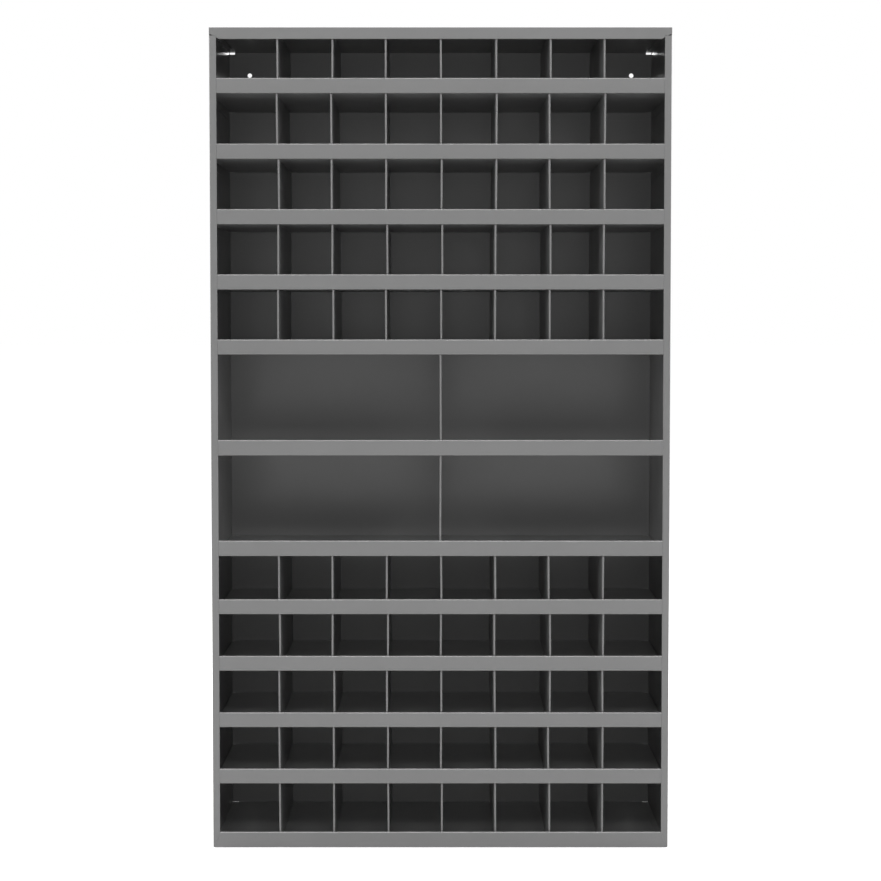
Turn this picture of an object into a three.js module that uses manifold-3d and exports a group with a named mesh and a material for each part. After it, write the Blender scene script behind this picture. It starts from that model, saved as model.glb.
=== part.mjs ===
// Free-standing steel pigeonhole unit: a welded sheet-metal case with eleven shelves, each with an
// upturned front lip, and upright dividers that split ten rows into eight bins and two rows into two.
// Millimetres, +Z up. X runs across the width, the open front faces -Y, and the origin is the
// centre of the underside.
import * as THREE from "three";
import { mergeVertices } from "three/addons/utils/BufferGeometryUtils.js";
import Module from "manifold-3d";

const wasm = await Module();
wasm.setup();

// Overall size
const WIDTH = 914.4;
const DEPTH = 304.8;
const HEIGHT = 1638.3;

// Sheet metal
const SHEET = 0.9;
const BEND_RADIUS = 0.9;
const HEM_WIDTH = 4.2;
const HEM_TURN = 270;
const FIT = 0.3;
const BEND_STEPS = 3;
const HEM_STEPS = 8;

// Rows, from floor to floor, counted from the top. The bottom row takes what is left.
const UPPER_ROWS = 5;
const UPPER_PITCH = 129.2;
const BIG_ROWS = 2;
const BIG_PITCH = 201.4;
const FIRST_LOW_PITCH = 116.9;
const LOW_ROWS = 3;
const LOW_PITCH = 114.1;
const BOTTOM_PITCH =
  HEIGHT - UPPER_ROWS * UPPER_PITCH - BIG_ROWS * BIG_PITCH - FIRST_LOW_PITCH - LOW_ROWS * LOW_PITCH;

// Front faces
const SIDE_FLANGE = 13.9;
const TOP_FLANGE = 23;
const TOP_FLANGE_OVER_SIDES = 16;
const TOP_CHAMFER = { across: 6.6, up: 3.5 };
const SHELF_LIP = 30;
const BIG_ROW_LIP = 31;
const BASE_LIP = 32;
const BASE_LIP_SLANT = { foot: 3, shoulder: 12, height: 25 };

// Welding flanges and corner reliefs
const WELD_FLANGE = 12.7;
const SHELF_FLANGE = 19;
const FRONT_RELIEF = 6;
const REAR_RELIEF = 9;
const TOP_WINDOW = 4;
const BACK_FOOT_GAP = 3;

// Dividers
const BINS_ACROSS = 8;
const BIN_PITCH = 108.1;
const DIVIDER_NOTCH = { height: 21, depth: 3 };

// Wall-fixing holes in the back panel
const FIXING_HOLE = 9.5;
const FIXING_INSET = { side: 45, end: 50 };
const HOLE_STEPS = 8;

// Paint
const PAINT_COLOUR = 0x808080;
const PAINT_ROUGHNESS = 0.35;
const PAINT_METALNESS = 0;

// Places worked out from the sizes above
const HALF_WIDTH = WIDTH / 2;
const FRONT = -DEPTH / 2;
const REAR = DEPTH / 2;
const HALF_SHEET = SHEET / 2;
const BEND_MID = BEND_RADIUS + HALF_SHEET;
const BEND_OUTER = BEND_RADIUS + SHEET;
const HEM_MID = (HEM_WIDTH - SHEET) / 2;
const INNER_HALF_WIDTH = HALF_WIDTH - SHEET - FIT;
const LIP_HALF_WIDTH = HALF_WIDTH - SIDE_FLANGE - FIT;
const BACK_REAR_FACE = REAR - SHEET - FIT;
const BACK_FRONT_FACE = BACK_REAR_FACE - SHEET;
const SHELF_REAR_FACE = BACK_FRONT_FACE - FIT;
const BEHIND_HEM = FRONT + HEM_WIDTH + FIT;

// How far a cutting block runs past what it cuts, and how close two corners count as one
const OVERRUN = 1;
const LONG_OVERRUN = 20;
const SAME_CORNER = 1e-3;

// Axes of an extruded profile: where its own X, Y and Z point in the part
const ALONG_X = new THREE.Matrix4().makeBasis(axis(0, 1, 0), axis(0, 0, 1), axis(1, 0, 0));
const ALONG_Y = new THREE.Matrix4().makeBasis(axis(1, 0, 0), axis(0, 0, 1), axis(0, -1, 0));

function axis(x, y, z) {
  return new THREE.Vector3(x, y, z);
}

// A folded strip of sheet, seen on edge. It starts at a point on the middle of the sheet, heads off
// at an angle in degrees, and follows its folds: straight runs and bends, positive to the left.
function foldedStrip(start, heading, folds) {
  const left = [];
  const right = [];
  const at = start.clone();
  let angle = THREE.MathUtils.degToRad(heading);
  const mark = () => {
    const normal = new THREE.Vector2(-Math.sin(angle), Math.cos(angle)).multiplyScalar(HALF_SHEET);
    left.push(at.clone().add(normal));
    right.unshift(at.clone().sub(normal));
  };
  const advance = (length) => {
    at.x += length * Math.cos(angle);
    at.y += length * Math.sin(angle);
  };
  mark();
  for (const fold of folds) {
    if (fold.run !== undefined) {
      advance(fold.run);
      mark();
      continue;
    }
    const step = THREE.MathUtils.degToRad(fold.bend) / fold.steps;
    const chord = 2 * fold.radius * Math.sin(Math.abs(step) / 2);
    for (let i = 0; i < fold.steps; i += 1) {
      angle += step / 2;
      advance(chord);
      angle += step / 2;
      mark();
    }
  }
  return new THREE.Shape([...left, ...right]);
}

function run(length) {
  return { run: length };
}

function bend(degrees) {
  return { bend: degrees, radius: BEND_MID, steps: BEND_STEPS };
}

function hem(side) {
  return { bend: side * HEM_TURN, radius: HEM_MID, steps: HEM_STEPS };
}

function extrude(shape, length) {
  const settings = { depth: length, bevelEnabled: false, curveSegments: HOLE_STEPS };
  return new THREE.ExtrudeGeometry(shape, settings);
}

// A profile drawn in depth and height, extruded across the width and centred on it
function acrossWidth(shape, length) {
  return extrude(shape, length).applyMatrix4(ALONG_X).translate(-length / 2, 0, 0);
}

// A profile drawn in width and height, extruded from the nearer to the further depth
function alongDepth(shape, near, far) {
  return extrude(shape, far - near).applyMatrix4(ALONG_Y).translate(0, far, 0);
}

function block(low, high) {
  const size = high.clone().sub(low);
  const middle = low.clone().add(high).multiplyScalar(0.5);
  return new THREE.BoxGeometry(size.x, size.y, size.z).translate(middle.x, middle.y, middle.z);
}

// The same block at the left and right ends, given by its distances from the middle
function endBlocks(inner, outer, near, far, low, high) {
  return [
    block(axis(inner, near, low), axis(outer, far, high)),
    block(axis(-outer, near, low), axis(-inner, far, high)),
  ];
}

function polygon(points, side = 1) {
  return new THREE.Shape(points.map(([x, y]) => new THREE.Vector2(side * x, y)));
}

function solid(geometry) {
  const bare = geometry.clone();
  bare.deleteAttribute("normal");
  bare.deleteAttribute("uv");
  const welded = mergeVertices(bare, SAME_CORNER);
  return new wasm.Manifold(
    new wasm.Mesh({
      numProp: 3,
      vertProperties: welded.attributes.position.array,
      triVerts: new Uint32Array(welded.index.array),
    }),
  );
}

// Joins the added shapes to the first and cuts the others out of it
function weldAndCut(first, added, cut) {
  let body = solid(first);
  added.forEach((shape) => {
    body = body.add(solid(shape));
  });
  cut.forEach((shape) => {
    body = body.subtract(solid(shape));
  });
  const mesh = body.getMesh();
  const geometry = new THREE.BufferGeometry();
  geometry.setAttribute("position", new THREE.BufferAttribute(mesh.vertProperties, 3));
  geometry.setIndex(new THREE.BufferAttribute(mesh.triVerts, 1));
  geometry.computeVertexNormals();
  return geometry;
}

function piece(name, geometry) {
  const paint = new THREE.MeshStandardMaterial({
    color: PAINT_COLOUR,
    roughness: PAINT_ROUGHNESS,
    metalness: PAINT_METALNESS,
  });
  const mesh = new THREE.Mesh(geometry, paint);
  mesh.name = name;
  return mesh;
}

// Slanted end of the base lip, in distance from the middle and height, moved out by a clearance
function baseLipEnd(clearance) {
  return [
    [HALF_WIDTH - BASE_LIP_SLANT.foot + clearance, -LONG_OVERRUN],
    [HALF_WIDTH - BASE_LIP_SLANT.foot + clearance, 0],
    [HALF_WIDTH - BASE_LIP_SLANT.shoulder + clearance, BASE_LIP_SLANT.height + clearance],
  ];
}

// Side panel: a pan with flanges turned inwards on all four edges and relieved corners
function sidePanel(side) {
  const foot = SHEET + FIT;
  const head = HEIGHT - SHEET - FIT;
  const web = DEPTH - 2 * BEND_OUTER;
  const start = new THREE.Vector2(-HALF_WIDTH + SIDE_FLANGE, FRONT + HALF_SHEET);
  const plan = foldedStrip(start, 180, [
    run(SIDE_FLANGE - BEND_OUTER),
    bend(-90),
    run(web),
    bend(-90),
    run(WELD_FLANGE - BEND_OUTER),
  ]);
  const channel = extrude(plan, head - foot).translate(0, 0, foot);
  const near = FRONT + SIDE_FLANGE + FRONT_RELIEF;
  const far = REAR - WELD_FLANGE - FRONT_RELIEF;
  const endFlange = (level, turn) => {
    const from = new THREE.Vector2(-HALF_WIDTH + HALF_SHEET, level + turn * WELD_FLANGE);
    const strip = foldedStrip(from, turn * -90, [
      run(WELD_FLANGE - BEND_MID - HALF_SHEET),
      bend(turn * 90),
      run(WELD_FLANGE - BEND_OUTER),
    ]);
    return alongDepth(strip, near + FIT, far - FIT);
  };
  const edgeCuts = [foot, head].map((level) =>
    block(
      axis(-HALF_WIDTH - OVERRUN, near, level - BEND_OUTER),
      axis(-HALF_WIDTH + BEND_OUTER, far, level + BEND_OUTER),
    ),
  );
  const openEdges = weldAndCut(channel, [], edgeCuts);
  const underTop = block(
    axis(-HALF_WIDTH - OVERRUN, FRONT - OVERRUN, HEIGHT - TOP_FLANGE_OVER_SIDES - FIT),
    axis(0, FRONT + BEND_OUTER + FIT, HEIGHT),
  );
  const lipEnd = [...baseLipEnd(FIT), [0, BASE_LIP_SLANT.height + FIT], [0, -LONG_OVERRUN]];
  const besideBase = alongDepth(polygon(lipEnd, -1), FRONT - OVERRUN, BEHIND_HEM);
  const window = block(
    axis(-HALF_WIDTH + BEND_OUTER + FIT, BACK_FRONT_FACE, HEIGHT - SHEET - TOP_WINDOW),
    axis(0, REAR + OVERRUN, HEIGHT),
  );
  const flanges = [endFlange(foot, 1), endFlange(head, -1)];
  const pan = weldAndCut(openEdges, flanges, [underTop, besideBase, window]);
  return side < 0 ? pan : weldAndCut(mirrored(pan), [], []);
}

// The same shape on the other side of the middle plane
function mirrored(geometry) {
  const turned = geometry.clone().scale(-1, 1, 1);
  const order = turned.index.array;
  for (let i = 0; i < order.length; i += 3) {
    const second = order[i + 1];
    order[i + 1] = order[i + 2];
    order[i + 2] = second;
  }
  return turned;
}

// Top panel: lies over both sides, with a hemmed front flange and a rear flange turned down
function topPanel() {
  const start = new THREE.Vector2(REAR - HALF_SHEET, HEIGHT - WELD_FLANGE);
  const profile = foldedStrip(start, 90, [
    run(WELD_FLANGE - BEND_OUTER),
    bend(90),
    run(DEPTH - 2 * BEND_OUTER),
    bend(90),
    run(TOP_FLANGE - BEND_OUTER - HEM_MID - HALF_SHEET),
    hem(1),
  ]);
  const shoulder = HEIGHT - TOP_FLANGE_OVER_SIDES;
  const hemEdge = HEIGHT - TOP_FLANGE;
  const corner = [
    [LIP_HALF_WIDTH, shoulder],
    [LIP_HALF_WIDTH, hemEdge + TOP_CHAMFER.up],
    [LIP_HALF_WIDTH - TOP_CHAMFER.across, hemEdge],
    [LIP_HALF_WIDTH - TOP_CHAMFER.across, hemEdge - OVERRUN],
    [HALF_WIDTH + OVERRUN, hemEdge - OVERRUN],
    [HALF_WIDTH + OVERRUN, shoulder],
  ];
  const corners = [1, -1].map((side) =>
    alongDepth(polygon(corner, side), FRONT - OVERRUN, BEHIND_HEM),
  );
  const flangeEnds = endBlocks(
    HALF_WIDTH - WELD_FLANGE - FIT,
    HALF_WIDTH + OVERRUN,
    REAR - BEND_OUTER,
    REAR + OVERRUN,
    HEIGHT - LONG_OVERRUN,
    HEIGHT - SHEET,
  );
  return weldAndCut(acrossWidth(profile, WIDTH), [], [...corners, ...flangeEnds]);
}

// Base panel: the lowest floor, with the tallest front lip and a rear flange turned up
function basePanel() {
  const start = new THREE.Vector2(REAR - HALF_SHEET, WELD_FLANGE);
  const profile = foldedStrip(start, -90, [
    run(WELD_FLANGE - BEND_OUTER),
    bend(-90),
    run(DEPTH - 2 * BEND_OUTER),
    bend(-90),
    run(BASE_LIP - BEND_OUTER - HEM_MID - HALF_SHEET),
    hem(-1),
  ]);
  const outline = [
    ...baseLipEnd(0),
    [LIP_HALF_WIDTH, BASE_LIP_SLANT.height],
    [LIP_HALF_WIDTH, BASE_LIP + OVERRUN],
    [HALF_WIDTH + OVERRUN, BASE_LIP + OVERRUN],
    [HALF_WIDTH + OVERRUN, -LONG_OVERRUN],
  ];
  const lipEnds = [1, -1].map((side) =>
    alongDepth(polygon(outline, side), FRONT - OVERRUN, BEHIND_HEM),
  );
  const flangeEnds = endBlocks(
    HALF_WIDTH - WELD_FLANGE - FIT,
    HALF_WIDTH + OVERRUN,
    REAR - BEND_OUTER,
    REAR + OVERRUN,
    SHEET,
    LONG_OVERRUN,
  );
  return weldAndCut(acrossWidth(profile, WIDTH), [], [...lipEnds, ...flangeEnds]);
}

// Back panel: a flat sheet inside the rear flanges, with four round holes for fixing to a wall
function backPanel() {
  const low = BACK_FOOT_GAP;
  const high = HEIGHT - SHEET - TOP_WINDOW;
  const sheet = polygon([
    [-INNER_HALF_WIDTH, low],
    [INNER_HALF_WIDTH, low],
    [INNER_HALF_WIDTH, high],
    [-INNER_HALF_WIDTH, high],
  ]);
  for (const side of [-1, 1]) {
    for (const level of [FIXING_INSET.end, HEIGHT - FIXING_INSET.end]) {
      const hole = new THREE.Path();
      hole.absarc(side * (HALF_WIDTH - FIXING_INSET.side), level, FIXING_HOLE / 2, 0, 2 * Math.PI, true);
      sheet.holes.push(hole);
    }
  }
  return alongDepth(sheet, BACK_FRONT_FACE, BACK_REAR_FACE);
}

// Shelf: floor, hemmed front lip, and flanges turned down along the rear edge and both ends.
// Dividers that are welded to it as one piece are handed in as shapes to add.
function shelf(level, lip, dividers) {
  const start = new THREE.Vector2(SHELF_REAR_FACE - HALF_SHEET, level - SHELF_FLANGE + SHEET);
  const profile = foldedStrip(start, 90, [
    run(SHELF_FLANGE - BEND_OUTER),
    bend(90),
    run(SHELF_REAR_FACE - FRONT - 2 * BEND_OUTER),
    bend(-90),
    run(lip - BEND_OUTER - HEM_MID - HALF_SHEET),
    hem(-1),
  ]);
  const floorHalf = INNER_HALF_WIDTH - BEND_OUTER;
  const floor = acrossWidth(profile, 2 * floorHalf);
  const near = FRONT + SIDE_FLANGE + FRONT_RELIEF;
  const far = SHELF_REAR_FACE - REAR_RELIEF;
  const endFlanges = [1, -1].map((side) => {
    const from = new THREE.Vector2(side * (floorHalf - SHELF_FLANGE), level + HALF_SHEET);
    const strip = foldedStrip(from, side > 0 ? 0 : 180, [
      run(SHELF_FLANGE),
      bend(side * -90),
      run(SHELF_FLANGE - BEND_OUTER),
    ]);
    return alongDepth(strip, near, far);
  });
  const lipEnds = endBlocks(
    LIP_HALF_WIDTH,
    HALF_WIDTH,
    FRONT - OVERRUN,
    FRONT + FRONT_RELIEF,
    level - OVERRUN,
    level + lip + OVERRUN,
  );
  const rearCorners = endBlocks(
    floorHalf - REAR_RELIEF,
    HALF_WIDTH,
    far,
    REAR,
    level - LONG_OVERRUN,
    level + SHEET + OVERRUN,
  );
  return weldAndCut(floor, [...endFlanges, ...dividers], [...lipEnds, ...rearCorners]);
}

// Divider: an upright sheet with a hemmed front edge. Its top rear corner is notched to clear the
// flange of the shelf above.
function divider(x, foot, head) {
  const start = new THREE.Vector2(x, SHELF_REAR_FACE);
  const plan = foldedStrip(start, -90, [
    run(SHELF_REAR_FACE - BEHIND_HEM - HEM_MID - HALF_SHEET),
    hem(1),
  ]);
  const sheet = extrude(plan, head - foot).translate(0, 0, foot);
  const notch = block(
    axis(x - LONG_OVERRUN, SHELF_REAR_FACE - DIVIDER_NOTCH.depth, head - DIVIDER_NOTCH.height),
    axis(x + LONG_OVERRUN, REAR, head + OVERRUN),
  );
  return weldAndCut(sheet, [], [notch]);
}

// Rows from the top, each with its floor level, its ceiling, its lip and its dividers' places
function rows() {
  const bins = Array.from({ length: BINS_ACROSS - 1 }, (_, i) => (i + 1 - BINS_ACROSS / 2) * BIN_PITCH);
  const upper = { pitch: UPPER_PITCH, lip: SHELF_LIP, dividers: bins, welded: false };
  const big = { pitch: BIG_PITCH, lip: BIG_ROW_LIP, dividers: [0], welded: false };
  const low = { pitch: LOW_PITCH, lip: SHELF_LIP, dividers: bins, welded: true };
  const kinds = [
    ...Array(UPPER_ROWS).fill(upper),
    ...Array(BIG_ROWS).fill(big),
    { ...low, pitch: FIRST_LOW_PITCH },
    ...Array(LOW_ROWS).fill(low),
    { ...upper, pitch: BOTTOM_PITCH },
  ];
  let ceiling = HEIGHT - SHEET;
  let top = HEIGHT;
  return kinds.map((kind) => {
    const floor = top - kind.pitch;
    const row = { ...kind, floor, ceiling };
    top = floor;
    ceiling = floor;
    return row;
  });
}

const unit = new THREE.Group();
unit.add(
  piece("left_side_panel", sidePanel(-1)),
  piece("right_side_panel", sidePanel(1)),
  piece("top_panel", topPanel()),
  piece("base_panel", basePanel()),
  piece("back_panel", backPanel()),
);

rows().forEach((row, index, all) => {
  const number = String(index + 1).padStart(2, "0");
  const head = row.ceiling - FIT;
  const isBase = index === all.length - 1;
  const foot = row.welded ? row.floor + HALF_SHEET : row.floor + SHEET + FIT;
  const dividers = row.dividers.map((x) => divider(x, foot, head));
  const bins = new THREE.Group();
  if (!isBase) {
    const name = row.welded ? `divided_shelf_${number}` : `shelf_${number}`;
    bins.add(piece(name, shelf(row.floor, row.lip, row.welded ? dividers : [])));
  }
  if (!row.welded) {
    dividers.forEach((shape, i) => bins.add(piece(`divider_row_${number}_${i + 1}`, shape)));
  }
  unit.add(bins);
});

export default unit;
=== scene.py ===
"""Pigeonhole unit of folded sheet steel: every sheet is folded, hemmed, cut and painted as its own piece,
then the unit is set on a white studio floor."""

import math
import random

import bmesh
import bpy
from bpy.props import FloatProperty, FloatVectorProperty, IntProperty, PointerProperty
from mathutils import Matrix, Vector


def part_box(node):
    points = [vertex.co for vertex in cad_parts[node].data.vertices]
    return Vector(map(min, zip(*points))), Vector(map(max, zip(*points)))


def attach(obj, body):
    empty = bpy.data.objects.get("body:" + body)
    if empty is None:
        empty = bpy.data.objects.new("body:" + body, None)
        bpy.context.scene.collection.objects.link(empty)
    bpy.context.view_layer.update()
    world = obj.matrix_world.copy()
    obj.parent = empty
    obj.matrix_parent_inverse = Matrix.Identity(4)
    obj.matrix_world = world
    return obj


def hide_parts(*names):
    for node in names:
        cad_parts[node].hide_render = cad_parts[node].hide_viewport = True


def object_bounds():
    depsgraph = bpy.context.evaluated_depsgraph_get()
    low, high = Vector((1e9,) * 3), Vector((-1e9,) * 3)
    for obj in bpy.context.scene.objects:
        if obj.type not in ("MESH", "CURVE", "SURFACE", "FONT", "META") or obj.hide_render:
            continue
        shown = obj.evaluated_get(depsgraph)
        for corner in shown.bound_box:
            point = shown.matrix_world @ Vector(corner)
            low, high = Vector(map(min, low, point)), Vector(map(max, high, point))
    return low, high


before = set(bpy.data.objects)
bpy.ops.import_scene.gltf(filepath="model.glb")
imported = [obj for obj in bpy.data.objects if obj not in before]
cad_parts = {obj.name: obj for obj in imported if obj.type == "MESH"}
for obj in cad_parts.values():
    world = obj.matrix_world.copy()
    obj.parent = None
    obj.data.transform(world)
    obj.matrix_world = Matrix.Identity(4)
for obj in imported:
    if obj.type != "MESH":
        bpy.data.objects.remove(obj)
CAD_LOW, CAD_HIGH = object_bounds()

bl_info = {
    "name": "Pigeonhole unit",
    "version": (1, 0, 0),
    "blender": (4, 5, 0),
    "location": "View3D > Sidebar > Pigeonholes",
    "description": "Folds the sheets of a steel pigeonhole unit and sets it in a studio",
    "category": "Add Mesh",
}

MM = 0.001
ACROSS = Vector((1, 0, 0))
BACKWARD = Vector((0, 1, 0))
UPWARD = Vector((0, 0, 1))
BEYOND = 20 * MM
OVERRUN = 1 * MM
CLEAN_CUT = 0.05 * MM
MERGE_DISTANCE = 0.01 * MM
NEARLY_FLAT = 0.99
SMOOTH_ANGLE = math.radians(32)
HOLE_SIDES = 32
BODY = "root"
BIG_ROWS = (6, 7)

# Painted highlight across the width of a rolled edge: strong where a lip's roll faces up to the light,
# faint on the other rolls
STRONG_HIGHLIGHT = 4.0
FAINT_HIGHLIGHT = 0.1

# Spots per metre and octaves of each pattern in the coat, and how far it goes
COAT_IOR = 1.5
# Patches of the painted highlight on the rolled edges, its least share and how much paler it makes the
# coat
HIGHLIGHT_PATCHES = (38, 4)
HIGHLIGHT_LEAST = 0.6
HIGHLIGHT_BRIGHTNESS = 2.5
CLOUDS = (7, 3)
CLOUD_SHARE = 0.03
SPECKS = (900, 1)
SPECK_SHARE = 0.035
GLOSS_PATCHES = (16, 4)
GLOSS_CHANGE = 0.03
PEEL_OCTAVES = 1
SHEET_WAVES = (5, 1)
WAVE_DEPTH = 1 * MM
PATTERN_LOW = 0.25
PATTERN_HIGH = 0.75

# Floor and lamps of the studio, in metres
FLOOR_RADIUS = 60
FLOOR_SIDES = 64
FLOOR_COLOUR = (0.9, 0.9, 0.9, 1)
WHITE = (1, 1, 1, 1)
KEY_PLACE = Vector((0, -2.4, 5.4))
KEY_SIZE = (3.6, 0.7)
FRONT_PLACE = Vector((0, -5.2, 4.1))
FRONT_SIZE = (4.0, 0.7)
LIFT_PLACE = Vector((0, -5.0, 5.4))
BOUNCE_PLACE = Vector((0, -5.0, -3.6))
SOFT_SIZE = (1.5, 1.5)
WING_PLACE = Vector((4.2, -3.2, 2.6))
WING_SIZE = (1.2, 2.4)
RIM_PLACE = Vector((3.2, 0.9, 2.2))
RIM_SIZE = (1.4, 1.4)
REAR_PLACE = Vector((0, 3.0, 2.6))
REAR_SIZE = (2.4, 1.2)
LEFT_AND_RIGHT = (Vector((-1, 1, 1)), Vector((1, 1, 1)))


class PigeonholeSheet(bpy.types.PropertyGroup):
    """Sheet and how it is folded"""

    gauge: FloatProperty(
        name="Sheet", description="Thickness of the steel sheet", default=0.9 * MM, unit="LENGTH"
    )
    bend_radius: FloatProperty(
        name="Bend radius", description="Inside radius of a fold", default=0.9 * MM, unit="LENGTH"
    )
    bend_steps: IntProperty(
        name="Bend steps", description="Faces round a right-angled fold", default=6, min=2
    )
    hem_width: FloatProperty(
        name="Hem width",
        description="Outside width of a rolled edge",
        default=4.2 * MM,
        unit="LENGTH",
    )
    hem_turn: FloatProperty(
        name="Hem turn",
        description="How far a rolled edge is turned",
        default=math.radians(270),
        subtype="ANGLE",
        unit="ROTATION",
    )
    hem_steps: IntProperty(name="Hem steps", description="Faces round a rolled edge", default=18, min=4)
    weld_flange: FloatProperty(
        name="Welding flange",
        description="Width of a hidden flange",
        default=12.7 * MM,
        unit="LENGTH",
    )
    fit: FloatProperty(name="Fit", description="Gap between two sheets", default=0.3 * MM, unit="LENGTH")


class PigeonholeCase(bpy.types.PropertyGroup):
    """Sides, top, base, back and shelves"""

    side_flange: FloatProperty(
        name="Side flange",
        description="Width of a side's front flange",
        default=13.9 * MM,
        unit="LENGTH",
    )
    top_flange: FloatProperty(
        name="Top flange",
        description="Height of the top's front flange",
        default=23 * MM,
        unit="LENGTH",
    )
    top_flange_over_sides: FloatProperty(
        name="Top over sides",
        description="How far the top's front flange comes down over the sides",
        default=16 * MM,
        unit="LENGTH",
    )
    top_corner_across: FloatProperty(
        name="Top corner across",
        description="Width of the cut lower corner",
        default=6.6 * MM,
        unit="LENGTH",
    )
    top_corner_up: FloatProperty(
        name="Top corner up",
        description="Height of the cut lower corner",
        default=3.5 * MM,
        unit="LENGTH",
    )
    shelf_lip: FloatProperty(
        name="Shelf lip",
        description="Height of a shelf's front lip",
        default=30 * MM,
        unit="LENGTH",
    )
    big_row_lip: FloatProperty(
        name="Large row lip",
        description="Height of the lip of a large row",
        default=31 * MM,
        unit="LENGTH",
    )
    base_lip: FloatProperty(
        name="Base lip",
        description="Height of the base's front lip",
        default=32 * MM,
        unit="LENGTH",
    )
    base_lip_foot: FloatProperty(
        name="Base lip foot",
        description="Inset of the slanted end at the floor",
        default=3 * MM,
        unit="LENGTH",
    )
    base_lip_shoulder: FloatProperty(
        name="Base lip shoulder",
        description="Inset where the slant ends",
        default=12 * MM,
        unit="LENGTH",
    )
    base_lip_slant: FloatProperty(
        name="Base lip slant",
        description="Height of the slanted end",
        default=25 * MM,
        unit="LENGTH",
    )
    shelf_flange: FloatProperty(
        name="Shelf flange",
        description="Width of a shelf's rear and end flanges",
        default=19 * MM,
        unit="LENGTH",
    )
    front_relief: FloatProperty(
        name="Front relief",
        description="Gap cut beside a front corner",
        default=6 * MM,
        unit="LENGTH",
    )
    rear_relief: FloatProperty(
        name="Rear relief",
        description="Square cut out of a shelf's rear corner",
        default=9 * MM,
        unit="LENGTH",
    )
    top_window: FloatProperty(
        name="Top gap", description="Open strip over the back panel", default=4 * MM, unit="LENGTH"
    )
    back_foot_gap: FloatProperty(
        name="Back foot gap",
        description="Open strip under the back panel",
        default=3 * MM,
        unit="LENGTH",
    )
    fixing_hole: FloatProperty(
        name="Fixing hole",
        description="Diameter of a wall-fixing hole",
        default=9.5 * MM,
        unit="LENGTH",
    )
    fixing_from_side: FloatProperty(
        name="Hole from side",
        description="Hole centre to the outside of the unit",
        default=45 * MM,
        unit="LENGTH",
    )
    fixing_from_end: FloatProperty(
        name="Hole from end",
        description="Hole centre to the top or the foot",
        default=50 * MM,
        unit="LENGTH",
    )


class PigeonholeDividers(bpy.types.PropertyGroup):
    """Upright dividers"""

    bins: IntProperty(name="Bins", description="Bins in a row", default=8, min=2)
    pitch: FloatProperty(
        name="Bin pitch",
        description="Distance between two dividers",
        default=108.1 * MM,
        unit="LENGTH",
    )
    notch_height: FloatProperty(
        name="Notch height",
        description="Height of the notch in the top rear corner",
        default=21 * MM,
        unit="LENGTH",
    )
    notch_depth: FloatProperty(
        name="Notch depth",
        description="Depth of the notch in the top rear corner",
        default=3 * MM,
        unit="LENGTH",
    )
    wander: FloatProperty(
        name="Wander",
        description="How far a divider may stand off its line",
        default=2 * MM,
        unit="LENGTH",
    )
    lean: FloatProperty(
        name="Lean",
        description="How far a divider may lean",
        default=math.radians(0.45),
        subtype="ANGLE",
        unit="ROTATION",
    )
    seed: IntProperty(name="Seed", description="Which set of small errors the dividers have", default=12)


class PigeonholePaint(bpy.types.PropertyGroup):
    """Powder coat"""

    colour: FloatVectorProperty(
        name="Colour",
        description="Colour of the powder coat",
        default=(0.21, 0.21, 0.21),
        subtype="COLOR",
        size=3,
        min=0,
        max=1,
    )
    roughness: FloatProperty(
        name="Roughness",
        description="Roughness of the powder coat",
        default=0.31,
        min=0,
        max=1,
        subtype="FACTOR",
    )
    peel_size: FloatProperty(
        name="Peel size",
        description="Size of the fine dimples in the coat",
        default=2.2 * MM,
        unit="LENGTH",
    )
    peel_depth: FloatProperty(
        name="Peel depth",
        description="Depth of the fine dimples in the coat",
        default=0.02 * MM,
        unit="LENGTH",
    )
    # Strength of the painted highlight on the rolled edges
    edge_highlight: FloatProperty(
        name="Rub",
        description="How far rolled edges are rubbed paler",
        default=0.9,
        min=0,
        max=1,
        subtype="FACTOR",
    )


class PigeonholeStudio(bpy.types.PropertyGroup):
    """Camera and light"""

    eye_height: FloatProperty(
        name="Eye height", description="Height of the camera", default=1.067, unit="LENGTH"
    )
    distance: FloatProperty(
        name="Distance", description="Camera to the front of the unit", default=3.2, unit="LENGTH"
    )
    tilt: FloatProperty(
        name="Tilt",
        description="How far the camera looks down",
        default=math.radians(2.2),
        subtype="ANGLE",
        unit="ROTATION",
    )
    lens: FloatProperty(name="Lens", description="Focal length in millimetres", default=65.78)
    shift: FloatProperty(name="Shift", description="Rise or fall of the lens", default=-0.07)
    key_power: FloatProperty(
        name="Key light",
        description="Power of the wide lamp high over the front",
        default=30,
        unit="POWER",
    )
    front_power: FloatProperty(
        name="Front light",
        description="Power of the wide lamp further out in front",
        default=62,
        unit="POWER",
    )
    wing_power: FloatProperty(
        name="Wing lights",
        description="Power of each lamp in front to the left and right",
        default=61,
        unit="POWER",
    )
    lift_power: FloatProperty(
        name="Lift light",
        description="Power of the shadowless lamp that opens up the floors",
        default=36,
        unit="POWER",
    )
    bounce_power: FloatProperty(
        name="Bounce light",
        description="Power of the shadowless lamp from below",
        default=11,
        unit="POWER",
    )
    rim_power: FloatProperty(
        name="Rim lights",
        description="Power of each lamp beside and behind the unit",
        default=50,
        unit="POWER",
    )
    ambient: FloatProperty(name="Ambient", description="Light from all round", default=0.15, min=0)
    floor_glow: FloatProperty(
        name="Floor glow",
        description="How much paler the floor looks than its light makes it",
        default=0.87,
        min=0,
    )


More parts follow.
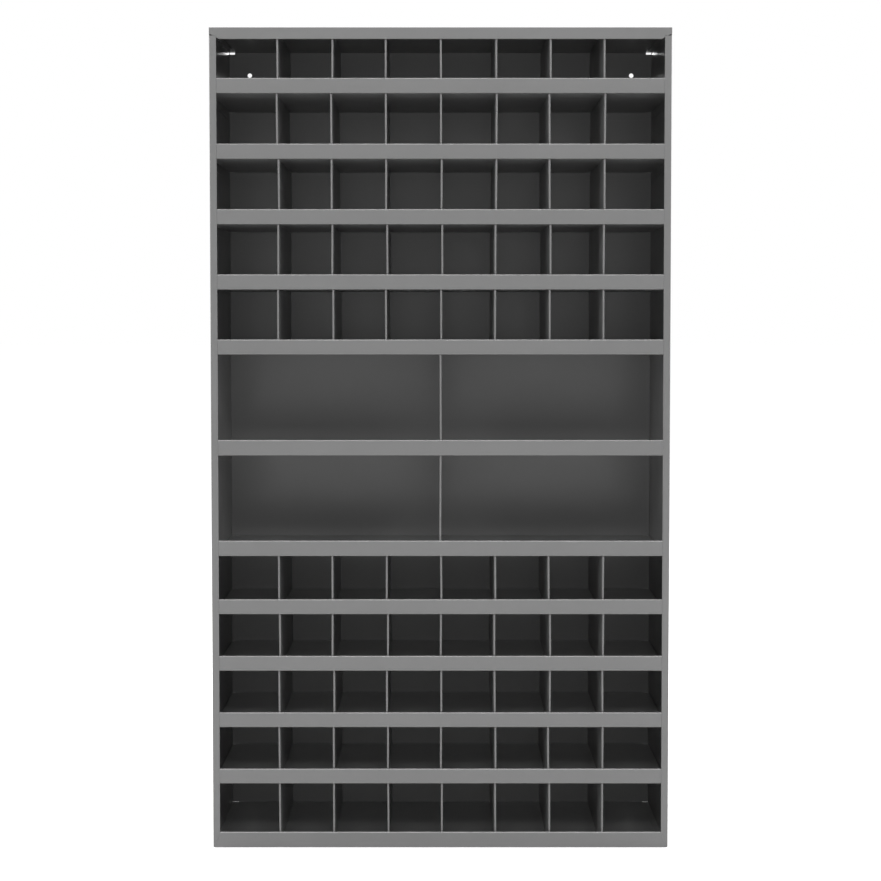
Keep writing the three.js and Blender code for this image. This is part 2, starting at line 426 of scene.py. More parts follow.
class Layout:
    """Places worked out from the sizes and from the frame."""

    def __init__(self, scene):
        sheet = scene.pigeonhole_sheet
        case = scene.pigeonhole_case
        self.gauge = sheet.gauge
        self.half_gauge = sheet.gauge / 2
        self.bend_mid = sheet.bend_radius + self.half_gauge
        self.bend_outer = sheet.bend_radius + sheet.gauge
        self.hem_mid = (sheet.hem_width - sheet.gauge) / 2
        self.half_width = CAD_HIGH.x
        self.front = CAD_LOW.y
        self.rear = CAD_HIGH.y
        self.height = CAD_HIGH.z
        self.inner_half_width = self.half_width - sheet.gauge - sheet.fit
        self.lip_half_width = self.half_width - case.side_flange - sheet.fit
        self.back_rear_face = self.rear - sheet.gauge - sheet.fit
        self.back_front_face = self.back_rear_face - sheet.gauge
        self.shelf_rear_face = self.back_front_face - sheet.fit
        self.behind_hem = self.front + sheet.hem_width + sheet.fit
        self.shelf_nodes = sorted(
            (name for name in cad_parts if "shelf_" in name), key=lambda name: name.split("_")[-1]
        )
        drop = case.shelf_flange - sheet.gauge
        self.floors = [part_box(name)[0].z + drop for name in self.shelf_nodes]
        self.floors.append(0.0)
        self.ceilings = [self.height - sheet.gauge]
        self.ceilings.extend(self.floors[:-1])


def select_only(piece):
    """Make the piece the only one selected, and the active one."""
    bpy.ops.object.select_all(action="DESELECT")
    piece.select_set(True)
    bpy.context.view_layer.objects.active = piece


def to_edit(piece, element):
    """Open the piece for editing its points, edges or faces, with nothing selected."""
    select_only(piece)
    bpy.ops.object.mode_set(mode="EDIT")
    bpy.ops.mesh.select_mode(type=element)
    bpy.ops.mesh.select_all(action="DESELECT")


def to_object():
    """Leave editing."""
    bpy.ops.object.mode_set(mode="OBJECT")


def pick_edge(piece, middle):
    """Select the edge whose middle is nearest to a point."""
    bpy.ops.mesh.select_all(action="DESELECT")
    mesh = bmesh.from_edit_mesh(piece.data)

    def distance(edge):
        first, second = edge.verts
        return ((first.co + second.co) / 2 - middle).length

    nearest = min(mesh.edges, key=distance)
    nearest.select_set(True)
    bmesh.update_edit_mesh(piece.data)


def pick_faces(piece, test):
    """Select the faces whose middle and normal pass a test."""
    bpy.ops.mesh.select_all(action="DESELECT")
    mesh = bmesh.from_edit_mesh(piece.data)
    for face in mesh.faces:
        face.select_set(test(face.calc_center_median(), face.normal))
    bmesh.update_edit_mesh(piece.data)


class Fold:
    """Leading edge of a strip of sheet, folded step by step along the middle of the sheet."""

    def __init__(self, piece, at, heading, along):
        self.piece = piece
        self.at = Vector(at)
        self.heading = Vector(heading)
        self.along = Vector(along)
        self.sheet = bpy.context.scene.pigeonhole_sheet
        pick_edge(piece, self.at)

    def run(self, length):
        """Carry the sheet straight on."""
        step = self.heading * length
        bpy.ops.mesh.extrude_region_move(TRANSFORM_OT_translate={"value": step})
        self.at += step

    def turn(self, angle, radius, steps):
        """Carry the sheet round an arc about its own edge."""
        side = self.along.cross(self.heading) * math.copysign(1, angle)
        centre = self.at + side * radius
        bpy.ops.mesh.spin(steps=steps, angle=-angle, center=centre, axis=self.along)
        rotation = Matrix.Rotation(angle, 3, self.along)
        self.at = centre + rotation @ (self.at - centre)
        self.heading = rotation @ self.heading

    def bend(self, degrees):
        """Fold the sheet at its bend radius."""
        radius = self.sheet.bend_radius + self.sheet.gauge / 2
        self.turn(math.radians(degrees), radius, self.sheet.bend_steps)

    def hem(self, side):
        """Roll the edge over."""
        radius = (self.sheet.hem_width - self.sheet.gauge) / 2
        self.turn(side * self.sheet.hem_turn, radius, self.sheet.hem_steps)


def start_strip(name, start, heading, along, span, first_run):
    """Lay down the first flat run of a strip and take hold of its leading edge."""
    heading = Vector(heading)
    along = Vector(along)
    middle = Vector(start) + heading * (first_run / 2)
    bpy.ops.object.select_all(action="DESELECT")
    bpy.ops.mesh.primitive_plane_add(size=1)
    piece = bpy.context.object
    piece.name = name
    piece.data.name = name
    turned = Matrix((along, heading, along.cross(heading))).transposed().to_4x4()
    piece.matrix_world = Matrix.Translation(middle) @ turned @ Matrix.Diagonal((span, first_run, 1, 1))
    bpy.ops.object.transform_apply(location=True, rotation=True, scale=True)
    to_edit(piece, "EDGE")
    return Fold(piece, Vector(start) + heading * first_run, heading, along)


def slice_faces(piece, test, point, normal):
    """Cut the faces that pass a test along a plane."""
    bpy.ops.mesh.select_mode(type="FACE")
    pick_faces(piece, test)
    bpy.ops.mesh.bisect(plane_co=point, plane_no=normal)


def drop_faces(piece, test):
    """Take out the faces that pass a test."""
    bpy.ops.mesh.select_mode(type="FACE")
    pick_faces(piece, test)
    bpy.ops.mesh.delete(type="FACE")
    bpy.ops.mesh.select_mode(type="EDGE")


def thicken(piece):
    """Give the folded sheet its thickness, half to each side."""
    bpy.ops.mesh.select_all(action="SELECT")
    bpy.ops.mesh.remove_doubles(threshold=MERGE_DISTANCE)
    bpy.ops.mesh.normals_make_consistent(inside=False)
    to_object()
    bpy.ops.object.modifier_add(type="SOLIDIFY")
    wall = piece.modifiers[-1]
    wall.thickness = bpy.context.scene.pigeonhole_sheet.gauge
    wall.offset = 0
    wall.use_even_offset = True
    wall.use_quality_normals = True
    bpy.ops.object.modifier_apply(modifier=wall.name)


def block(low, high):
    """A block to cut with, between two corners."""
    low = Vector(low)
    high = Vector(high)
    bpy.ops.object.select_all(action="DESELECT")
    bpy.ops.mesh.primitive_cube_add(size=1)
    tool = bpy.context.object
    size = high - low
    tool.matrix_world = Matrix.Translation((low + high) / 2) @ Matrix.Diagonal((*size, 1))
    bpy.ops.object.transform_apply(location=True, rotation=True, scale=True)
    return tool


def end_blocks(inner, outer, near, far, low, high):
    """The same block at the left and right ends, by its distances from the middle."""
    return [
        block((inner, near, low), (outer, far, high)),
        block((-outer, near, low), (-inner, far, high)),
    ]


def slant_edge(tool, middle, step):
    """Move one edge of a block, to give it a sloping side."""
    to_edit(tool, "EDGE")
    pick_edge(tool, Vector(middle))
    bpy.ops.transform.translate(value=step)
    to_object()


def cut_away(piece, tools):
    """Cut the tools out of the piece and throw them away."""
    for tool in tools:
        select_only(piece)
        bpy.ops.object.modifier_add(type="BOOLEAN")
        cut = piece.modifiers[-1]
        cut.operation = "DIFFERENCE"
        cut.solver = "EXACT"
        cut.object = tool
        bpy.ops.object.modifier_apply(modifier=cut.name)
        bpy.data.objects.remove(tool)


def copy_piece(piece, name):
    """A copy of the piece with a mesh of its own."""
    made = piece.copy()
    made.data = piece.data.copy()
    made.name = name
    made.data.name = name
    bpy.context.scene.collection.objects.link(made)
    return made


def move_piece(piece, step):
    """Move the whole mesh, so that the piece stays at the origin."""
    to_edit(piece, "VERT")
    bpy.ops.mesh.select_all(action="SELECT")
    bpy.ops.transform.translate(value=step)
    to_object()


def mark_highlight(piece, share):
    """Note how strongly each point of a rolled edge is paled by the painted highlight, from 0 to 1."""
    highlighted = piece.data.attributes.new("highlighted", "FLOAT", "POINT")
    for index, vertex in enumerate(piece.data.vertices):
        highlighted.data[index].value = min(max(share(vertex.co), 0.0), 1.0)


def smooth_bends(piece):
    """Shade the bends and rolls as smooth and keep the flats flat."""
    select_only(piece)
    bpy.ops.object.shade_smooth_by_angle(angle=SMOOTH_ANGLE)
    bpy.ops.object.modifier_add(type="WEIGHTED_NORMAL")
    flats = piece.modifiers[-1]
    flats.keep_sharp = True
    bpy.ops.object.modifier_apply(modifier=flats.name)


def fit_to_frame(piece, node):
    """Paint the piece and let it stand for its solid in the frame."""
    piece.data.materials.clear()
    piece.data.materials.append(powder_coat())
    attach(piece, BODY)
    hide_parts(node)


def powder_coat():
    """Semi-gloss grey powder coat with fine dimples, slight waves in the sheet and a painted highlight on
    the rolled edges.
    """
    made = bpy.data.materials.get("grey powder coat")
    if made:
        return made
    paint = bpy.context.scene.pigeonhole_paint
    made = bpy.data.materials.new("grey powder coat")
    made.use_nodes = True
    nodes = made.node_tree.nodes
    links = made.node_tree.links
    shader = nodes["Principled BSDF"]
    shader.inputs["Metallic"].default_value = 0
    shader.inputs["IOR"].default_value = COAT_IOR
    place = nodes.new("ShaderNodeTexCoord").outputs["Object"]

    def noise(scale, detail):
        texture = nodes.new("ShaderNodeTexNoise")
        texture.inputs["Scale"].default_value = scale
        texture.inputs["Detail"].default_value = detail
        links.new(place, texture.inputs["Vector"])
        return texture.outputs["Fac"]

    def spread(value, low, high):
        ranged = nodes.new("ShaderNodeMapRange")
        ranged.inputs["From Min"].default_value = PATTERN_LOW
        ranged.inputs["From Max"].default_value = PATTERN_HIGH
        ranged.inputs["To Min"].default_value = low
        ranged.inputs["To Max"].default_value = high
        links.new(value, ranged.inputs["Value"])
        return ranged.outputs["Result"]

    def times(first, second):
        product = nodes.new("ShaderNodeMath")
        product.operation = "MULTIPLY"
        links.new(first, product.inputs[0])
        if isinstance(second, float):
            product.inputs[1].default_value = second
        else:
            links.new(second, product.inputs[1])
        return product.outputs["Value"]

    # Painted highlight on the rolled edges, broken into patches
    highlighted = nodes.new("ShaderNodeAttribute")
    highlighted.attribute_name = "highlighted"
    patches = spread(noise(*HIGHLIGHT_PATCHES), HIGHLIGHT_LEAST, 1)
    highlight_share = times(times(highlighted.outputs["Fac"], patches), paint.edge_highlight)

    cloud = spread(noise(*CLOUDS), 1 - CLOUD_SHARE, 1 + CLOUD_SHARE)
    speck = spread(noise(*SPECKS), 1 - SPECK_SHARE, 1 + SPECK_SHARE)
    tone = nodes.new("ShaderNodeVectorMath")
    tone.operation = "SCALE"
    tone.inputs[0].default_value = paint.colour
    links.new(times(cloud, speck), tone.inputs["Scale"])
    # Mix the coat towards a paler grey where the painted highlight lies
    highlight_colour = nodes.new("ShaderNodeMix")
    highlight_colour.data_type = "RGBA"
    highlight_colour.inputs["B"].default_value = (*[channel * HIGHLIGHT_BRIGHTNESS for channel in paint.colour], 1)
    links.new(highlight_share, highlight_colour.inputs["Factor"])
    links.new(tone.outputs["Vector"], highlight_colour.inputs["A"])
    links.new(highlight_colour.outputs["Result"], shader.inputs["Base Color"])

    gloss = spread(
        noise(*GLOSS_PATCHES), paint.roughness - GLOSS_CHANGE, paint.roughness + GLOSS_CHANGE
    )
    links.new(gloss, shader.inputs["Roughness"])

    peel = nodes.new("ShaderNodeBump")
    peel.inputs["Strength"].default_value = 1.0
    peel.inputs["Distance"].default_value = paint.peel_depth
    links.new(noise(1 / paint.peel_size, PEEL_OCTAVES), peel.inputs["Height"])
    waves = nodes.new("ShaderNodeBump")
    waves.inputs["Strength"].default_value = 1.0
    waves.inputs["Distance"].default_value = WAVE_DEPTH
    links.new(noise(*SHEET_WAVES), waves.inputs["Height"])
    links.new(waves.outputs["Normal"], peel.inputs["Normal"])
    links.new(peel.outputs["Normal"], shader.inputs["Normal"])
    return made


class PIGEONHOLE_OT_side_panels(bpy.types.Operator):
    """Fold the two side panels: pans with flanges on all four edges"""

    bl_idname = "pigeonhole.side_panels"
    bl_label = "Side panels"

    def execute(self, context):
        place = Layout(context.scene)
        sheet = context.scene.pigeonhole_sheet
        case = context.scene.pigeonhole_case
        foot = sheet.gauge + sheet.fit
        head = place.height - sheet.gauge - sheet.fit
        middle = (foot + head) / 2
        web_x = -place.half_width + place.half_gauge
        start = (-place.half_width + case.side_flange, place.front + place.half_gauge, middle)
        fold = start_strip(
            "left_side", start, -ACROSS, UPWARD, head - foot, case.side_flange - place.bend_outer
        )
        fold.bend(-90)
        fold.run(place.rear - place.front - 2 * place.bend_outer)
        fold.bend(-90)
        fold.run(sheet.weld_flange - place.bend_outer)
        left = fold.piece

        near = place.front + case.side_flange + case.front_relief
        far = place.rear - sheet.weld_flange - case.front_relief
        low = foot + place.bend_outer
        high = head - place.bend_outer

        def on_web(at, normal):
            return abs(normal.x) > NEARLY_FLAT

        def between(at, normal):
            return on_web(at, normal) and near < at.y < far

        for depth in (near, far):
            slice_faces(left, on_web, (0, depth, 0), BACKWARD)
        for level in (low, high):
            slice_faces(left, between, (0, 0, level), UPWARD)
        drop_faces(left, lambda at, normal: between(at, normal) and not low < at.z < high)
        for level, upright in ((low, -1), (high, 1)):
            flange = Fold(left, (web_x, (near + far) / 2, level), UPWARD * upright, -BACKWARD)
            flange.bend(-90 * upright)
            flange.run(sheet.weld_flange - place.bend_outer)
        thicken(left)

        outside = -place.half_width - OVERRUN
        under_top = block(
            (outside, place.front - OVERRUN, place.height - case.top_flange_over_sides - sheet.fit),
            (0, place.front + place.bend_outer + sheet.fit, place.height),
        )
        over_slant = block(
            (-place.lip_half_width - sheet.fit, place.front - OVERRUN, 0),
            (0, place.behind_hem, case.base_lip),
        )
        beside_slant = block(
            (-place.half_width + case.base_lip_foot - sheet.fit, place.front - OVERRUN, 0),
            (0, place.behind_hem, case.base_lip_slant),
        )
        slant_edge(
            beside_slant,
            (
                -place.half_width + case.base_lip_foot - sheet.fit,
                (place.front - OVERRUN + place.behind_hem) / 2,
                case.base_lip_slant,
            ),
            (case.base_lip_shoulder - case.base_lip_foot, 0, 0),
        )
        window_foot = place.height - sheet.gauge - case.top_window
        window = block(
            (-place.half_width + place.bend_outer, place.back_front_face, window_foot),
            (0, place.rear + OVERRUN, place.height),
        )
        cut_away(left, [under_top, over_slant, beside_slant, window])

        right = copy_piece(left, "right_side")
        to_edit(right, "VERT")
        bpy.ops.mesh.select_all(action="SELECT")
        bpy.ops.transform.resize(value=(-1, 1, 1), center_override=(0, 0, 0))
        bpy.ops.mesh.flip_normals()
        to_object()
        for side in (left, right):
            smooth_bends(side)
        fit_to_frame(left, "left_side_panel")
        fit_to_frame(right, "right_side_panel")
        return {"FINISHED"}


class PIGEONHOLE_OT_top_panel(bpy.types.Operator):
    """Fold the top panel, which lies over both sides"""

    bl_idname = "pigeonhole.top_panel"
    bl_label = "Top panel"

    def execute(self, context):
        place = Layout(context.scene)
        sheet = context.scene.pigeonhole_sheet
        case = context.scene.pigeonhole_case
        start = (0, place.rear - place.half_gauge, place.height - sheet.weld_flange)
        fold = start_strip(
            "top", start, UPWARD, ACROSS, 2 * place.half_width, sheet.weld_flange - place.bend_outer
        )
        fold.bend(90)
        fold.run(place.rear - place.front - 2 * place.bend_outer)
        fold.bend(90)
        fold.run(case.top_flange - place.bend_outer - place.hem_mid - place.half_gauge)
        fold.hem(1)
        top = fold.piece
        thicken(top)

        shoulder = place.height - case.top_flange_over_sides
        hem_edge = place.height - case.top_flange
        near = place.front - OVERRUN
        far = place.behind_hem
        outer = place.half_width + OVERRUN
        tools = end_blocks(place.lip_half_width, outer, near, far, hem_edge - OVERRUN, shoulder)
        cut_start = place.lip_half_width - case.top_corner_across
        rise = case.top_corner_up / case.top_corner_across * (outer - cut_start)
        corners = end_blocks(cut_start, outer, near, far, hem_edge - OVERRUN, hem_edge)
        for side, corner in zip((1, -1), corners):
            slant_edge(corner, (side * outer, (near + far) / 2, hem_edge), (0, 0, rise))
        tools.extend(corners)
        tools.extend(
            end_blocks(
                place.half_width - sheet.weld_flange - sheet.fit,
                outer,
                place.rear - place.bend_outer,
                place.rear + OVERRUN,
                place.height - BEYOND,
                place.height - sheet.gauge,
            )
        )
        cut_away(top, tools)
        # Faint painted highlight along the lower edge of the top's rolled hem
        roll = hem_edge + sheet.hem_width / 2
        mark_highlight(top, lambda at: FAINT_HIGHLIGHT * (roll - at.z) / sheet.hem_width)
        smooth_bends(top)
        fit_to_frame(top, "top_panel")
        return {"FINISHED"}


class PIGEONHOLE_OT_base_panel(bpy.types.Operator):
    """Fold the base panel, the lowest floor with the tallest lip"""

    bl_idname = "pigeonhole.base_panel"
    bl_label = "Base panel"

    def execute(self, context):
        place = Layout(context.scene)
        sheet = context.scene.pigeonhole_sheet
        case = context.scene.pigeonhole_case
        start = (0, place.rear - place.half_gauge, sheet.weld_flange)
        fold = start_strip(
            "base", start, -UPWARD, ACROSS, 2 * place.half_width, sheet.weld_flange - place.bend_outer
        )
        fold.bend(-90)
        fold.run(place.rear - place.front - 2 * place.bend_outer)
        fold.bend(-90)
        fold.run(case.base_lip - place.bend_outer - place.hem_mid - place.half_gauge)
        fold.hem(-1)
        base = fold.piece
        thicken(base)

        near = place.front - OVERRUN
        far = place.behind_hem
        outer = place.half_width + OVERRUN
        tools = end_blocks(
            place.lip_half_width, outer, near, far, case.base_lip_slant, case.base_lip + OVERRUN
        )
        slants = end_blocks(
            place.half_width - case.base_lip_foot, outer, near, far, 0, case.base_lip_slant
        )
        for side, tool in zip((1, -1), slants):
            slant_edge(
                tool,
                (side * (place.half_width - case.base_lip_foot), (near + far) / 2, case.base_lip_slant),
                (side * (case.base_lip_foot - case.base_lip_shoulder), 0, 0),
            )
        tools.extend(slants)
        tools.extend(
            end_blocks(
                place.half_width - sheet.weld_flange - sheet.fit,
                outer,
                place.rear - place.bend_outer,
                place.rear + OVERRUN,
                sheet.gauge,
                BEYOND,
            )
        )
        cut_away(base, tools)
        # Strong painted highlight along the top of the base lip's roll
        roll = case.base_lip - sheet.hem_width / 2
        mark_highlight(base, lambda at: STRONG_HIGHLIGHT * (at.z - roll) / sheet.hem_width)
        smooth_bends(base)
        fit_to_frame(base, "base_panel")
        return {"FINISHED"}


class PIGEONHOLE_OT_back_panel(bpy.types.Operator):
    """Cut the flat back panel and punch its four fixing holes"""

    bl_idname = "pigeonhole.back_panel"
    bl_label = "Back panel"

    def execute(self, context):
        place = Layout(context.scene)
        case = context.scene.pigeonhole_case
        low = case.back_foot_gap
        high = place.height - place.gauge - case.top_window
        depth = (place.back_front_face + place.back_rear_face) / 2
        width = 2 * place.inner_half_width
        fold = start_strip("back", (0, depth, low), UPWARD, ACROSS, width, high - low)
        back = fold.piece
        thicken(back)
        tools = []
        for side in (-1, 1):
            for level in (case.fixing_from_end, place.height - case.fixing_from_end):
                bpy.ops.object.select_all(action="DESELECT")
                bpy.ops.mesh.primitive_cylinder_add(
                    vertices=HOLE_SIDES,
                    radius=case.fixing_hole / 2,
                    depth=BEYOND,
                    location=(side * (place.half_width - case.fixing_from_side), depth, level),
                    rotation=(math.radians(90), 0, 0),
                )
                tools.append(context.object)
        cut_away(back, tools)
        smooth_bends(back)
        fit_to_frame(back, "back_panel")
        return {"FINISHED"}


class PIGEONHOLE_OT_shelves(bpy.types.Operator):
    """Fold a shelf for the small rows and one for the large rows, and copy them to their levels"""

    bl_idname = "pigeonhole.shelves"
    bl_label = "Shelves"

    def execute(self, context):
        place = Layout(context.scene)
        case = context.scene.pigeonhole_case
        patterns = {}
        for number, node in enumerate(place.shelf_nodes, start=1):
            level = place.floors[number - 1]
            lip = case.big_row_lip if number in BIG_ROWS else case.shelf_lip
            name = f"shelf_row_{number:02d}"
            if lip in patterns:
                pattern, pattern_level = patterns[lip]
                shelf = copy_piece(pattern, name)
                move_piece(shelf, (0, 0, level - pattern_level))
            else:
                shelf = self.fold_shelf(context.scene, name, level, lip)
                patterns[lip] = (shelf, level)
            fit_to_frame(shelf, node)
        return {"FINISHED"}

    def fold_shelf(self, scene, name, level, lip):
        """Fold the floor with its lip, rear flange and end flanges, and cut its corners."""
        place = Layout(scene)
        sheet = scene.pigeonhole_sheet
        case = scene.pigeonhole_case
        floor_half = place.inner_half_width - place.bend_outer
        start = (0, place.shelf_rear_face - place.half_gauge, level - case.shelf_flange + sheet.gauge)
        rear_flange = case.shelf_flange - place.bend_outer
        fold = start_strip(name, start, UPWARD, ACROSS, 2 * floor_half, rear_flange)
        fold.bend(90)
        fold.run(place.shelf_rear_face - place.front - 2 * place.bend_outer)
        fold.bend(-90)
        fold.run(lip - place.bend_outer - place.hem_mid - place.half_gauge)
        fold.hem(-1)
        shelf = fold.piece

        near = place.front + case.side_flange + case.front_relief
        far = place.shelf_rear_face - case.rear_relief

        def on_floor(at, normal):
            flat = abs(normal.z) > NEARLY_FLAT
            return flat and abs(at.z - level - place.half_gauge) < place.half_gauge

        for depth in (near, far):
            slice_faces(shelf, on_floor, (0, depth, 0), BACKWARD)
        bpy.ops.mesh.select_mode(type="EDGE")
        for side in (1, -1):
            edge = (side * floor_half, (near + far) / 2, level + place.half_gauge)
            flange = Fold(shelf, edge, ACROSS * side, -BACKWARD)
            flange.bend(-90 * side)
            flange.run(rear_flange)
        thicken(shelf)

        lip_ends = end_blocks(
            place.lip_half_width,
            place.half_width,
            place.front - OVERRUN,
            place.front + case.front_relief,
            level - OVERRUN,
            level + lip + OVERRUN,
        )
        rear_corners = end_blocks(
            floor_half - case.rear_relief,
            place.half_width,
            far - CLEAN_CUT,
            place.rear,
            level - BEYOND,
            level + sheet.gauge + OVERRUN,
        )
        cut_away(shelf, lip_ends + rear_corners)
        # Strong painted highlight along the top of the shelf lip's roll
        roll = level + lip - sheet.hem_width / 2
        mark_highlight(shelf, lambda at: STRONG_HIGHLIGHT * (at.z - roll) / sheet.hem_width)
        smooth_bends(shelf)
        return shelf


class PIGEONHOLE_OT_dividers(bpy.types.Operator):
    """Fold one divider for each row and stand its copies in line, each a little off true"""

    bl_idname = "pigeonhole.dividers"
    bl_label = "Dividers"

    def execute(self, context):
        place = Layout(context.scene)
        sheet = context.scene.pigeonhole_sheet
        sizes = context.scene.pigeonhole_dividers
        chance = random.Random(sizes.seed)
        for row, (floor, ceiling) in enumerate(zip(place.floors, place.ceilings), start=1):
            foot = floor + sheet.gauge + sheet.fit
            head = ceiling - sheet.fit
            pattern = self.fold_divider(context.scene, foot, head)
            count = 1 if row in BIG_ROWS else sizes.bins - 1
            for index in range(count):
                divider = copy_piece(pattern, f"divider_{row:02d}_{index + 1}")
                line = (index - (count - 1) / 2) * sizes.pitch
                off_line = chance.uniform(-1, 1) * sizes.wander
                lean = chance.uniform(-1, 1) * sizes.lean
                self.stand(divider, line + off_line, lean, (foot + head) / 2)
                node = f"divider_row_{row:02d}_{index + 1}"
                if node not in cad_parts:
                    node = place.shelf_nodes[row - 1]
                fit_to_frame(divider, node)
            bpy.data.objects.remove(pattern)
        return {"FINISHED"}

    def fold_divider(self, scene, foot, head):
        """Fold an upright sheet with a rolled front edge and notch its top rear corner."""
        place = Layout(scene)
        sheet = scene.pigeonhole_sheet
        sizes = scene.pigeonhole_dividers
        start = (0, place.shelf_rear_face, (foot + head) / 2)
        plate = place.shelf_rear_face - place.behind_hem - place.hem_mid - place.half_gauge
        fold = start_strip("divider_pattern", start, -BACKWARD, UPWARD, head - foot, plate)
        fold.hem(1)
        pattern = fold.piece
        thicken(pattern)
        notch = block(
            (-BEYOND, place.shelf_rear_face - sizes.notch_depth, head - sizes.notch_height),
            (BEYOND, place.rear, head + OVERRUN),
        )
        cut_away(pattern, [notch])
        # Faint painted highlight along the front of the divider's rolled edge
        roll = place.behind_hem + sheet.hem_width / 2
        mark_highlight(pattern, lambda at: FAINT_HIGHLIGHT * (roll - at.y) / sheet.hem_width)
        smooth_bends(pattern)
        return pattern

    def stand(self, divider, line, lean, middle):
        """Lean a divider about its middle and move it to its line."""
        to_edit(divider, "VERT")
        bpy.ops.mesh.select_all(action="SELECT")
        bpy.ops.transform.rotate(value=lean, orient_axis="Y", center_override=(0, 0, middle))
        bpy.ops.transform.translate(value=(line, 0, 0))
        to_object()


class PIGEONHOLE_OT_studio(bpy.types.Operator):
    """Set the floor, the lamps, the surroundings and the camera"""

    bl_idname = "pigeonhole.studio"
    bl_label = "Studio"

    def execute(self, context):
        scene = context.scene
        studio = scene.pigeonhole_studio
        scene.view_settings.view_transform = "Standard"
        self.lay_floor(studio)
        self.light_surroundings(scene, studio)
        front_middle = (0, CAD_LOW.y, CAD_HIGH.z / 2)
        rear_middle = (0, CAD_HIGH.y, CAD_HIGH.z / 2)
        self.hang_lamp("key lamp", KEY_PLACE, front_middle, KEY_SIZE, studio.key_power)
        self.hang_lamp("front lamp", FRONT_PLACE, front_middle, FRONT_SIZE, studio.front_power)
        for at, power in ((LIFT_PLACE, studio.lift_power), (BOUNCE_PLACE, studio.bounce_power)):
            soft = self.hang_lamp("soft lamp", at, front_middle, SOFT_SIZE, power)
            soft.use_shadow = False
            soft.specular_factor = 0
        for side in LEFT_AND_RIGHT:
            self.hang_lamp("wing lamp", WING_PLACE * side, front_middle, WING_SIZE, studio.wing_power)
            self.hang_lamp("rim lamp", RIM_PLACE * side, rear_middle, RIM_SIZE, studio.rim_power)
        self.hang_lamp("rear lamp", REAR_PLACE, rear_middle, REAR_SIZE, studio.rim_power)
        self.stand_camera(scene, studio)
        return {"FINISHED"}

    def lay_floor(self, studio):
        """Lay a wide white floor that takes shadows."""
        bpy.ops.object.select_all(action="DESELECT")
        bpy.ops.mesh.primitive_circle_add(
            vertices=FLOOR_SIDES, radius=FLOOR_RADIUS, fill_type="NGON", location=(0, 0, 0)
        )
        floor = bpy.context.object
        floor.name = "studio_floor"
        made = bpy.data.materials.new("white floor")
        made.use_nodes = True
        nodes = made.node_tree.nodes
        links = made.node_tree.links
        nodes.clear()
        matt = nodes.new("ShaderNodeBsdfDiffuse")
        matt.inputs["Color"].default_value = FLOOR_COLOUR
        glow = nodes.new("ShaderNodeEmission")
        both = nodes.new("ShaderNodeAddShader")
        end = nodes.new("ShaderNodeOutputMaterial")
        links.new(seen_directly(made.node_tree, studio.floor_glow), glow.inputs["Strength"])
        links.new(matt.outputs["BSDF"], both.inputs[0])
        links.new(glow.outputs["Emission"], both.inputs[1])
        links.new(both.outputs["Shader"], end.inputs["Surface"])
        floor.data.materials.append(made)

    def light_surroundings(self, scene, studio):
        """Make the surroundings look white while they shed only the ambient light."""
        world = bpy.data.worlds.new("white surroundings")
        scene.world = world
        world.use_nodes = True
        nodes = world.node_tree.nodes
        links = world.node_tree.links
        background = nodes["Background"]
        background.inputs["Color"].default_value = WHITE
        lift = nodes.new("ShaderNodeMath")
        lift.operation = "ADD"
        lift.inputs[1].default_value = studio.ambient
        links.new(seen_directly(world.node_tree, 1 - studio.ambient), lift.inputs[0])
        links.new(lift.outputs["Value"], background.inputs["Strength"])

    def hang_lamp(self, name, at, target, size, power):
        """Hang a rectangular lamp that faces a point."""
        bpy.ops.object.select_all(action="DESELECT")
        bpy.ops.object.light_add(type="AREA", location=at)
        lamp = bpy.context.object
        lamp.name = name
        lamp.data.shape = "RECTANGLE"
        lamp.data.size = size[0]
        lamp.data.size_y = size[1]
        lamp.data.energy = power
        lamp.rotation_euler = (Vector(target) - at).to_track_quat("-Z", "Y").to_euler()
        return lamp.data

    def stand_camera(self, scene, studio):
        """Stand the camera in front of the middle of the unit."""
        at = (0, CAD_LOW.y - studio.distance, studio.eye_height)
        bpy.ops.object.camera_add(location=at, rotation=(math.radians(90) - studio.tilt, 0, 0))
        camera = bpy.context.object
        camera.data.lens = studio.lens
        camera.data.shift_y = studio.shift
        scene.camera = camera


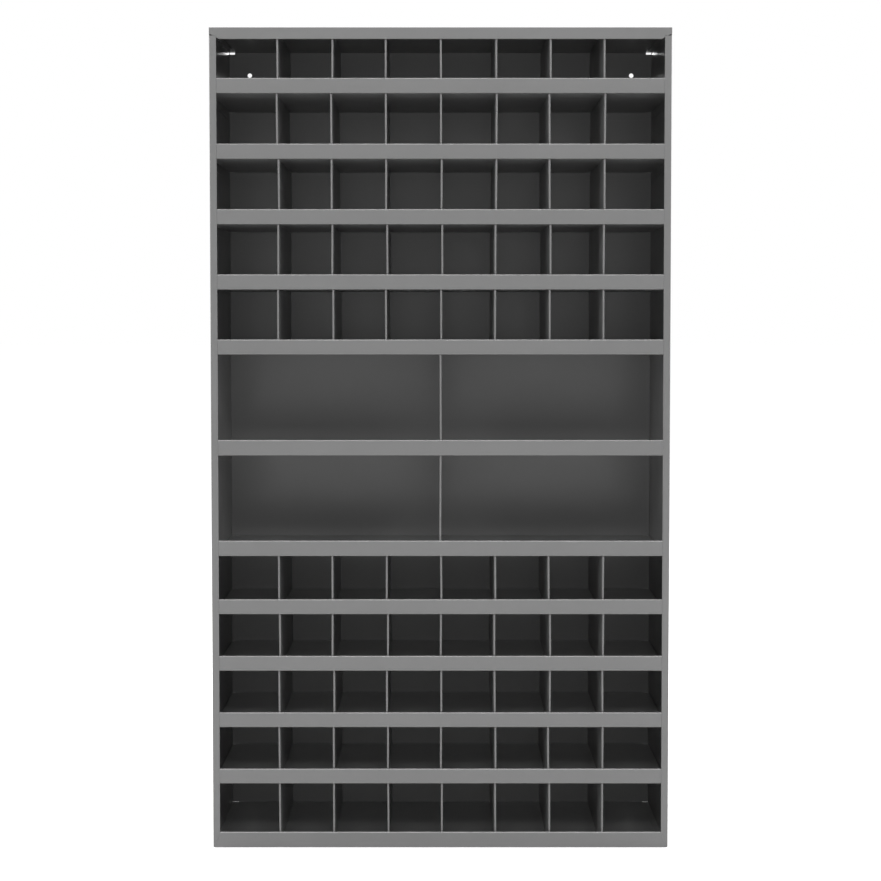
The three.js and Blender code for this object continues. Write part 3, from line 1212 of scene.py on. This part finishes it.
def seen_directly(tree, strength):
    """A strength that the eye, a reflection or clear glass sees, and that sheds no light."""
    path = tree.nodes.new("ShaderNodeLightPath")
    total = path.outputs["Is Camera Ray"]
    for name in ("Is Glossy Ray", "Is Transmission Ray"):
        either = tree.nodes.new("ShaderNodeMath")
        either.operation = "MAXIMUM"
        tree.links.new(total, either.inputs[0])
        tree.links.new(path.outputs[name], either.inputs[1])
        total = either.outputs["Value"]
    scaled = tree.nodes.new("ShaderNodeMath")
    scaled.operation = "MULTIPLY"
    scaled.inputs[1].default_value = strength
    tree.links.new(total, scaled.inputs[0])
    return scaled.outputs["Value"]


STEPS = (
    PIGEONHOLE_OT_side_panels,
    PIGEONHOLE_OT_top_panel,
    PIGEONHOLE_OT_base_panel,
    PIGEONHOLE_OT_back_panel,
    PIGEONHOLE_OT_shelves,
    PIGEONHOLE_OT_dividers,
    PIGEONHOLE_OT_studio,
)


class PIGEONHOLE_PT_panel(bpy.types.Panel):
    """Sizes and steps of the pigeonhole unit"""

    bl_idname = "PIGEONHOLE_PT_panel"
    bl_label = "Pigeonhole unit"
    bl_space_type = "VIEW_3D"
    bl_region_type = "UI"
    bl_category = "Pigeonholes"

    def draw(self, context):
        for name in GROUPS:
            box = self.layout.box()
            group = getattr(context.scene, name)
            for size in group.__annotations__:
                box.prop(group, size)
        for step in STEPS:
            self.layout.operator(step.bl_idname)


GROUPS = {
    "pigeonhole_sheet": PigeonholeSheet,
    "pigeonhole_case": PigeonholeCase,
    "pigeonhole_dividers": PigeonholeDividers,
    "pigeonhole_paint": PigeonholePaint,
    "pigeonhole_studio": PigeonholeStudio,
}
CLASSES = (*GROUPS.values(), *STEPS, PIGEONHOLE_PT_panel)


def register():
    for made in CLASSES:
        bpy.utils.register_class(made)
    for name, group in GROUPS.items():
        setattr(bpy.types.Scene, name, PointerProperty(type=group))


def unregister():
    for name in GROUPS:
        delattr(bpy.types.Scene, name)
    for made in reversed(CLASSES):
        bpy.utils.unregister_class(made)


def main():
    register()
    bpy.ops.pigeonhole.side_panels()
    bpy.ops.pigeonhole.top_panel()
    bpy.ops.pigeonhole.base_panel()
    bpy.ops.pigeonhole.back_panel()
    bpy.ops.pigeonhole.shelves()
    bpy.ops.pigeonhole.dividers()
    bpy.ops.pigeonhole.studio()


if __name__ == "__main__":
    main()
